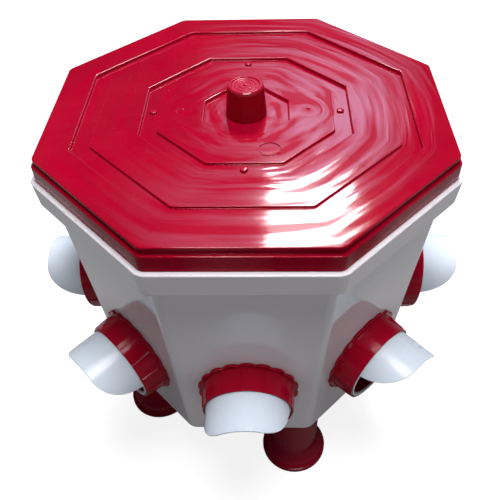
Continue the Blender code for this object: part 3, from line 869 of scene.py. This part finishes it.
def make_rivets():
    seat = INNER_FLOOR_Z + GAP
    corners = [
        (0.0, seat + RIVET_HEAD, 0.0),
        (0.0025, seat + 0.0016, 0.0009),
        (RIVET_HEAD_R, seat + 0.0008, 0.0004),
        (RIVET_HEAD_R, seat, 0.0),
        (RIVET_SHANK_R, seat, 0.0),
        (RIVET_SHANK_R, seat - RIVET_SHANK, 0.0003),
        (0.0, seat - RIVET_SHANK, 0.0),
    ]
    first = shaded(turned("lid_rivet_head", soften(corners), 32), 40.0)
    for name, angle in RIVETS.items():
        rivet = copied(first, "rivet_" + name, around(RIVET_RING_R, angle))
        fitted(rivet, KNOB_RED, "lid_group", "red_plastic", "lid_rivet_" + name)
    bpy.data.objects.remove(first)


def knob_corners():
    seat, top = CENTRE_Z + GAP, KNOB_TOP_Z
    roof = top - 0.0040
    hole_end = top - 0.0080
    dish = top - KNOB_DISH
    rings = []
    for start in KNOB_RINGS:
        rings += [
            (start, dish, 0.0002),
            (start + 0.0003, top - 0.0006, 0.0002),
            (start + 0.0012, top - 0.0006, 0.0002),
            (start + 0.0015, dish, 0.0002),
        ]
    return [
        (0.0, top - 0.0001, 0.0),
        (0.0014, top - 0.0001, 0.0004),
        (0.0020, dish, 0.0003),
        *rings,
        (0.0122, dish, 0.0004),
        (0.0132, top, 0.0004),
        (KNOB_TOP_R, top, 0.0005),
        (0.0161, top - 0.0011, 0.0010),
        (KNOB_SHOULDER_R, top - 0.0028, 0.0012),
        (KNOB_BASE_R, seat, 0.0003),
        (KNOB_BASE_R - KNOB_WALL, seat, 0.0003),
        (KNOB_SHOULDER_R - KNOB_WALL, roof, 0.0010),
        (KNOB_BOSS_R, roof, 0.0006),
        (KNOB_BOSS_R, seat, 0.0003),
        (KNOB_HOLE_R, seat, 0.0003),
        (KNOB_HOLE_R, hole_end, 0.0),
        (0.0, hole_end, 0.0),
    ]


def make_knob():
    knob = shaded(turned("knob_turned", soften(knob_corners(), 3), ROUND_SIDES), 40.0)
    fitted(knob, KNOB_RED, "lid_group", "red_plastic", "lid_knob")


# Screws

def pan_screw(name, radius, length, head_r, head, socket_r):
    """A screw standing on its head's underside at the origin, with a six-sided socket."""
    corners = [
        (0.0, length, 0.0),
        (radius * 0.7, length, 0.0),
        (radius, length - radius * 0.6, 0.0),
        (radius, 0.0, 0.0),
        (head_r, 0.0, head_r * 0.06),
        (head_r, -head * 0.5, head_r * 0.1),
        (head_r * 0.7, -head, head_r * 0.1),
        (0.0, -head, 0.0),
    ]
    piece = turned(name, soften(corners, 3), 36)
    drilled(piece, socket_r, head * 1.1, [at(0, 0, -head)], 6)
    return shaded(piece, 30.0)


def make_small_screws():
    under_lid = at(0, 0, CENTRE_Z - LID_WALL - GAP)
    first = pan_screw("screw_blank", *KNOB_SCREW)
    screw = copied(first, "screw_under_knob", under_lid)
    fitted(screw, STEEL, "lid_group", "steel", "knob_screw")
    bpy.data.objects.remove(first)
    under_floor = at(0, 0, BASE_Z - GAP)
    first = pan_screw("screw_blank", *CONE_SCREW)
    screw = copied(first, "screw_under_cone", under_floor)
    fitted(screw, STEEL, "bin", "steel", "cone_screw")
    bpy.data.objects.remove(first)


# Ports

def hood_reach(turn):
    """How far out the hood goes at an angle from its top, down to the tube's plain lip."""
    share = (abs(turn) - HOOD_FLAT) / (HOOD_SPREAD - HOOD_FLAT)
    if share <= 0.0:
        return HOOD_REACH
    if share >= 1.0:
        return TUBE_LIP
    return max(TUBE_LIP, HOOD_ROOT + (HOOD_REACH - HOOD_ROOT) * sqrt(1.0 - share * share))


def baffle_reach(up):
    """How far in the tube goes behind its flange, at a height above its axis."""
    share = min(1.0, max(0.0, (up - BAFFLE_START) / BAFFLE_SLOPE))
    least = -FLANGE_SEAT + FLANGE + BAFFLE_LEAST
    return least + (BAFFLE_REACH - least) * share


def visor_corners():
    bore = TUBE_R - TUBE_WALL
    back = FLANGE_SEAT - FLANGE
    return [
        (TUBE_R, HOOD_REACH, 0.0007),
        (TUBE_R, THREAD_END, 0.0001),
        (THREAD_R, THREAD_END - 0.0003, 0.0001),
        (THREAD_R, FLANGE_SEAT, 0.0004),
        (FLANGE_R, FLANGE_SEAT, 0.0005),
        (FLANGE_R, back, 0.0005),
        (TUBE_R, back, 0.0004),
        (TUBE_R, -BAFFLE_REACH, 0.0006),
        (bore, -BAFFLE_REACH, 0.0006),
        (bore, HOOD_REACH, 0.0007),
    ]


def make_visors():
    first = turned("visor_blank", soften(visor_corners()), VISOR_COLUMNS, closed=True)
    start_editing(first)
    for i in range(VISOR_COLUMNS // 2 + 1):
        turn = 2 * pi * i / VISOR_COLUMNS
        hood = hood_reach(turn) - HOOD_REACH
        baffle = BAFFLE_REACH - baffle_reach(TUBE_R * cos(turn))

        def in_columns(v, turn=turn):
            return abs(abs(atan2(v.co.x, v.co.y)) - turn) < pi / VISOR_COLUMNS

        def at_hood(v):
            return v.co.z > HOOD_EDGE_Z and in_columns(v)

        def at_baffle(v):
            return v.co.z < BAFFLE_EDGE_Z and in_columns(v)

        for moved, test in ((hood, at_hood), (baffle, at_baffle)):
            if abs(moved) > 0.000001 and pick("VERT", test):
                bpy.ops.transform.translate(value=(0.0, 0.0, moved))
    stop_editing()
    shaded(first, 40.0)
    for name, (angle, roll) in PORTS.items():
        visor = copied(first, "hood_tube_" + name, port_place(angle, roll))
        fitted(visor, VISOR_WHITE, "port_" + name, "white_plastic", "visor_" + name)
    bpy.data.objects.remove(first)


# Painted shade and red light: dark red linings inside the white tubes, in place of their shaded
# insides.
def make_shade_linings():
    outer = TUBE_R - TUBE_WALL - GAP
    back, front = FLANGE_SEAT - FLANGE, TUBE_LIP - SLEEVE_SET_BACK
    corners = [(outer, front, 0.0004), (outer, back, 0.0003), (outer - SLEEVE_WALL, back, 0.0003),
               (outer - SLEEVE_WALL, front, 0.0005)]
    first = shaded(turned("shade_lining_blank", soften(corners), ROUND_SIDES, closed=True), 40.0)
    for name, (angle, roll) in PORTS.items():
        sleeve = copied(first, "throat_shade_" + name, port_place(angle, roll))
        fitted(sleeve, SHADE_LINING_RED, "port_" + name, "dark_red_plastic", "port_sleeve_" + name)
    bpy.data.objects.remove(first)


def make_gaskets():
    front = -WALL - GAP
    back = front - GASKET
    rim, hole = FLANGE_R - GASKET_INSET, HOLE_R + GAP
    corners = [(rim, front, 0.0006), (rim, back, 0.0006), (hole, back, 0.0004),
               (hole, front, 0.0004)]
    first = shaded(turned("gasket_blank", soften(corners), ROUND_SIDES, closed=True), 40.0)
    for name, (angle, _) in PORTS.items():
        gasket = copied(first, "seal_" + name, port_place(angle))
        fitted(gasket, RUBBER, "bin", "rubber", "gasket_" + name)
    bpy.data.objects.remove(first)


# Ring nuts

def nut_radius(height):
    return NUT_BACK_R + (NUT_FRONT_R - NUT_BACK_R) * height / NUT_LENGTH


def column_of(x, y):
    """A point's place round the nut, counted in columns of its mesh."""
    return atan2(y, x) / (2 * pi) * NUT_COLUMNS


def make_ring_nuts():
    low, high = NUT_FLANGE + RIB_FROM_FLANGE, NUT_LENGTH - RIB_FROM_FRONT
    corners = [
        (NUT_FRONT_R, NUT_LENGTH, 0.0007),
        (nut_radius(high), high, 0.0),
        (nut_radius(low), low, 0.0),
        (nut_radius(NUT_FLANGE), NUT_FLANGE, 0.0004),
        (NUT_LOBE_R, NUT_FLANGE, 0.0007),
        (NUT_LOBE_R, 0.0, 0.0005),
        (NUT_BORE_R, 0.0, 0.0003),
        (NUT_BORE_R, NUT_LENGTH, 0.0004),
    ]
    first = turned("nut_blank", soften(corners), NUT_COLUMNS, closed=True)
    start_editing(first)
    for step, share in enumerate(LOBE_SHARES):
        def on_rim(v, step=step):
            column = round(column_of(v.co.x, v.co.y)) % LOBE_COLUMNS
            wanted = (step, (LOBE_COLUMNS - step) % LOBE_COLUMNS)
            return v.co.xy.length > LOBES_FROM_R and column in wanted

        pick("VERT", on_rim)
        shrink = (NUT_LOBE_R - (NUT_LOBE_R - NUT_VALLEY_R) * share) / NUT_LOBE_R
        bpy.ops.transform.resize(value=(shrink, shrink, 1.0), center_override=(0, 0, 0))

    def on_rib(face):
        middle = face.calc_center_median()
        column = int(column_of(middle.x, middle.y) % NUT_COLUMNS)
        outside = middle.xy.length > RIBS_FROM_R
        return column % RIB_COLUMNS == FIRST_RIB and low < middle.z < high and outside

    bpy.ops.mesh.select_mode(type="FACE")
    pick("FACE", on_rib)
    bpy.ops.mesh.inset(thickness=RIB_INSET, depth=RIB_HEIGHT)
    stop_editing()
    broken_edges(first, NUT_EDGE_BREAK, 50)
    shaded(first, 35.0)
    for name, (angle, _) in PORTS.items():
        nut = copied(first, "clamp_nut_" + name, port_place(angle, out=GAP))
        fitted(nut, NUT_RED, "nut_" + name, "red_plastic", "ring_nut_" + name)
    bpy.data.objects.remove(first)


# Legs and what holds them

def leg_corners():
    top = BASE_Z - GAP
    flare = []
    for i in range(13):
        turn = 0.5 * pi * i / 12
        flare.append((LEG_ANKLE_R + (FOOT_R - LEG_ANKLE_R) * (1.0 - cos(turn)),
                      LEG_ANKLE_Z - (LEG_ANKLE_Z - FOOT_RIM) * sin(turn)))
    outer = [(x, z, 0.0) for x, z in flare]
    inner = [(x - LEG_WALL, z - LEG_WALL * 0.4, 0.0) for x, z in reversed(flare)]
    return [
        (BOLT_HOLE_R, top, 0.0),
        (LEG_TOP_R, top, 0.0012),
        *outer,
        (FOOT_R, 0.0, 0.0007),
        (FOOT_R - LEG_WALL, 0.0, 0.0007),
        *inner,
        (LEG_TOP_R - LEG_WALL, top - LEG_PLATE, 0.0008),
        (BOLT_HOLE_R, top - LEG_PLATE, 0.0),
    ]


def hexagon_nut():
    """A chamfered hexagon nut hanging down from the origin."""
    radius = HEXAGON_FLAT / cos(pi / 6)
    bore = BOLT_HOLE_R / cos(pi / 6)
    corners = [(radius, 0.0, 0.0), (radius, -HEXAGON_HEIGHT, 0.0), (bore, -HEXAGON_HEIGHT, 0.0),
               (bore, 0.0, 0.0)]
    nut = turned("hexagon_blank", soften(corners), 6, closed=True)
    broken_edges(nut, HEXAGON_EDGE_BREAK, 40)
    return shaded(nut, 30.0)


def make_legs():
    leg = shaded(turned("leg_blank", soften(leg_corners()), ROUND_SIDES, closed=True), 35.0)
    floor_top = BASE_Z + FLOOR + GAP
    plate_under = BASE_Z - 2 * GAP - LEG_PLATE
    length = floor_top - plate_under + BOLT_TAIL
    bolt = pan_screw("bolt_blank", BOLT_R, length, BOLT_HEAD_R, BOLT_HEAD, BOLT_SOCKET_R)
    nut = hexagon_nut()
    for name, angle in LEGS.items():
        place = around(LEG_RING_R, angle)
        fitted(copied(leg, "foot_leg_" + name, place),
               LEG_RED, "bin", "dark_red_plastic", "leg_" + name)
        head_up = place @ at(0, 0, floor_top) @ Matrix.Rotation(pi, 4, "X")
        fitted(copied(bolt, "bolt_" + name, head_up), STEEL, "bin", "steel", "leg_bolt_" + name)
        under = place @ at(0, 0, plate_under)
        fitted(copied(nut, "nut_under_" + name, under), STEEL, "bin", "steel", "leg_nut_" + name)
    for blank in (leg, bolt, nut):
        bpy.data.objects.remove(blank)


def make_cone():
    seat = BASE_Z + FLOOR + GAP
    tip = seat + CONE_HEIGHT
    roof = tip - CONE_TIP_DROP - CONE_ROOF
    corners = [
        (0.0, tip, 0.0),
        (CONE_TIP_R, tip - CONE_TIP_DROP, 0.0040),
        (CONE_R, seat + CONE_FOOT, 0.0030),
        (CONE_R, seat, 0.0006),
        (CONE_R - CONE_WALL, seat, 0.0006),
        (CONE_R - CONE_WALL, seat + 0.0030, 0.0020),
        (CONE_BOSS_R, roof, 0.0015),
        (CONE_BOSS_R, seat, 0.0004),
        (CONE_HOLE_R, seat, 0.0003),
        (CONE_HOLE_R, seat + CONE_HOLE, 0.0),
        (0.0, seat + CONE_HOLE, 0.0),
    ]
    cone = shaded(turned("cone_spreader", soften(corners), 128), 35.0)
    fitted(cone, HOPPER_WHITE, "bin", "white_plastic", "feed_cone")


# Floor, light and camera

BLACK, WHITE = (0.0, 0.0, 0.0, 1.0), (1.0, 1.0, 1.0, 1.0)
FLOOR_TONE = (0.165, 0.165, 0.165, 1.0)
FLOOR_TONE_SEEN = (0.44, 0.44, 0.44, 1.0)
FLOOR_GLOW = 0.85
FLOOR_SIZE = 12.0
SKY_COLOUR = (0.64, 0.66, 1.0, 1.0)
# Strengths for soft light, and for what shows in mirrors.
SKY_STRENGTHS = (0.3, 3.2)
WALL_STRENGTHS = (0.60, 0.46)
# The walls' share at their left and right, and at the front and behind.
WALL_SIDES = (0.67, 1.12)
WALL_DEPTHS = (1.06, 0.55)
CEILING = (0.02, 0.10)
LAMPS_FACE = (0.03, -0.10, 0.40)


def make_floor():
    bpy.ops.object.select_all(action="DESELECT")
    bpy.ops.mesh.primitive_plane_add(size=FLOOR_SIZE, location=(0.0, 0.0, 0.0))
    floor = bpy.context.object
    floor.name = "studio_floor"
    made, tree, shader = new_material("pale_floor", Roughness=0.9, Specular_IOR_Level=0.0)
    path = add(tree, "LightPath").outputs
    seen = calc(tree, "MAXIMUM", path["Is Camera Ray"], path["Is Glossy Ray"])
    seen = calc(tree, "MAXIMUM", seen, path["Is Transmission Ray"])
    tree.links.new(mixed(tree, seen, FLOOR_TONE, FLOOR_TONE_SEEN), shader.inputs["Base Color"])
    lit = product(tree, path["Is Camera Ray"], FLOOR_GLOW)
    shader.inputs["Emission Strength"].default_value = 1.0
    tree.links.new(mixed(tree, lit, BLACK, WHITE), shader.inputs["Emission Color"])
    floor.data.materials.append(made)


def band(tree, value, rise, fall):
    """One between two soft edges, each given by where it starts and where it ends."""
    return product(tree, spread(tree, value, *rise), spread(tree, value, *fall, 1.0, 0.0))


def skylight(tree, way, up):
    """Two soft patches of bluish sky behind the object, one to its right and one to its left."""
    level = add(tree, "VectorMath", {0: way, 1: (1.0, 1.0, 0.0)}, operation="MULTIPLY").outputs[0]
    level = add(tree, "VectorMath", {0: level}, operation="NORMALIZE").outputs[0]
    across = component(tree, level, "X")
    right = product(tree, band(tree, across, (-0.13, 0.07), (0.16, 0.28)),
                    band(tree, up, (0.42, 0.54), (0.58, 0.66)))
    left = product(tree, band(tree, across, (-0.34, -0.12), (0.0, 0.2)),
                   band(tree, up, (0.58, 0.70), (0.74, 0.90)), 0.45)
    behind = spread(tree, component(tree, level, "Y"), 0.0, 0.4)
    return product(tree, calc(tree, "MAXIMUM", right, left), behind)


def make_world():
    """Pale walls up to a low height, a dim ceiling, sky behind, and white for the camera."""
    world = bpy.data.worlds.new("studio_walls")
    world.use_nodes = True
    bpy.context.scene.world = world
    tree = world.node_tree
    way = add(tree, "TexCoord").outputs["Generated"]
    up = component(tree, way, "Z")
    path = add(tree, "LightPath").outputs
    mirrored = calc(tree, "MAXIMUM", path["Is Glossy Ray"], path["Is Transmission Ray"])
    unseen = calc(tree, "SUBTRACT", 1.0, path["Is Camera Ray"])

    side = product(tree, spread(tree, component(tree, way, "X"), -0.9, 0.9, *WALL_SIDES),
                   spread(tree, component(tree, way, "Y"), -0.9, 0.4, *WALL_DEPTHS))
    strength = spread(tree, mirrored, 0.0, 1.0, *WALL_STRENGTHS)
    wall = product(tree, spread(tree, up, 0.27, 0.37, 1.0, 0.0), product(tree, strength, side))
    ceiling = spread(tree, up, 0.80, 0.98, *CEILING)
    sky = product(tree, skylight(tree, way, up), spread(tree, mirrored, 0.0, 1.0, *SKY_STRENGTHS))
    room = calc(tree, "MAXIMUM", calc(tree, "ADD", wall, ceiling), path["Is Camera Ray"])
    bluish = calc(tree, "DIVIDE", sky, calc(tree, "ADD", calc(tree, "ADD", sky, room), 0.001))
    back = tree.nodes["Background"]
    tree.links.new(calc(tree, "ADD", room, product(tree, sky, unseen)), back.inputs["Strength"])
    tree.links.new(mixed(tree, product(tree, bluish, unseen), WHITE, SKY_COLOUR),
                   back.inputs["Color"])


def softbox(name, azimuth, elevation, distance, width, height, radiance, colour=WHITE[:3]):
    """A rectangular lamp at a compass angle from the back and a height angle, facing the lid."""
    data = bpy.data.lights.new(name, "AREA")
    data.shape = "RECTANGLE"
    data.size, data.size_y = width, height
    data.energy = radiance * pi * width * height
    data.color = colour
    lamp = bpy.data.objects.new(name, data)
    bpy.context.scene.collection.objects.link(lamp)
    turn, lift = radians(azimuth), radians(elevation)
    way = Vector((sin(turn) * cos(lift), cos(turn) * cos(lift), sin(lift)))
    lamp.location = Vector(LAMPS_FACE) + way * distance
    lamp.rotation_euler = way.to_track_quat("Z", "Y").to_euler()


def make_lamps():
    softbox("overhead_box", azimuth=160.0, elevation=83.0, distance=1.7,
            width=0.80, height=0.80, radiance=15.2)
    softbox("window_panel", azimuth=6.2, elevation=49.8, distance=2.2,
            width=0.37, height=0.80, radiance=42.0, colour=(0.97, 0.97, 1.0))
    softbox("right_fill", azimuth=85.0, elevation=20.0, distance=2.6,
            width=1.5, height=1.5, radiance=0.12)


# The camera as fitted to the photo, in units of the lid's reach from the middle of its top.
CAMERA_ANGLES = (2.43, 45.52, -1.86)
CAMERA_OFFSETS = (2.927, 0.004, 0.667)
CAMERA_UNIT = 0.195
FOCAL_PIXELS = 622.3
PICTURE_PIXELS = 500.0
SENSOR_WIDTH = 36.0


def make_camera():
    azimuth, elevation, roll = (radians(angle) for angle in CAMERA_ANGLES)
    away, left, down = CAMERA_OFFSETS
    back = Vector((sin(azimuth) * cos(elevation), -cos(azimuth) * cos(elevation), sin(elevation)))
    right = Vector((cos(azimuth), sin(azimuth), 0.0))
    up = back.cross(right)
    place = (back * away - right * left - up * down) * CAMERA_UNIT + Vector((0.0, 0.0, LID_TOP_Z))
    across = right * cos(roll) + up * sin(roll)
    upright = up * cos(roll) - right * sin(roll)
    data = bpy.data.cameras.new("photo_camera")
    data.sensor_width = SENSOR_WIDTH
    data.lens = FOCAL_PIXELS * SENSOR_WIDTH / PICTURE_PIXELS
    data.clip_start = 0.01
    camera = bpy.data.objects.new("photo_camera", data)
    bpy.context.scene.collection.objects.link(camera)
    turned_axes = Matrix((across, upright, back)).transposed().to_4x4()
    camera.matrix_world = Matrix.Translation(place) @ turned_axes
    bpy.context.scene.camera = camera


make_camera()
make_hopper()
make_lid()
make_rivets()
make_knob()
make_small_screws()
make_visors()
make_shade_linings()
make_gaskets()
make_ring_nuts()
make_legs()
make_cone()
make_floor()
make_world()
make_lamps()
bpy.context.scene.view_settings.view_transform = "Standard"
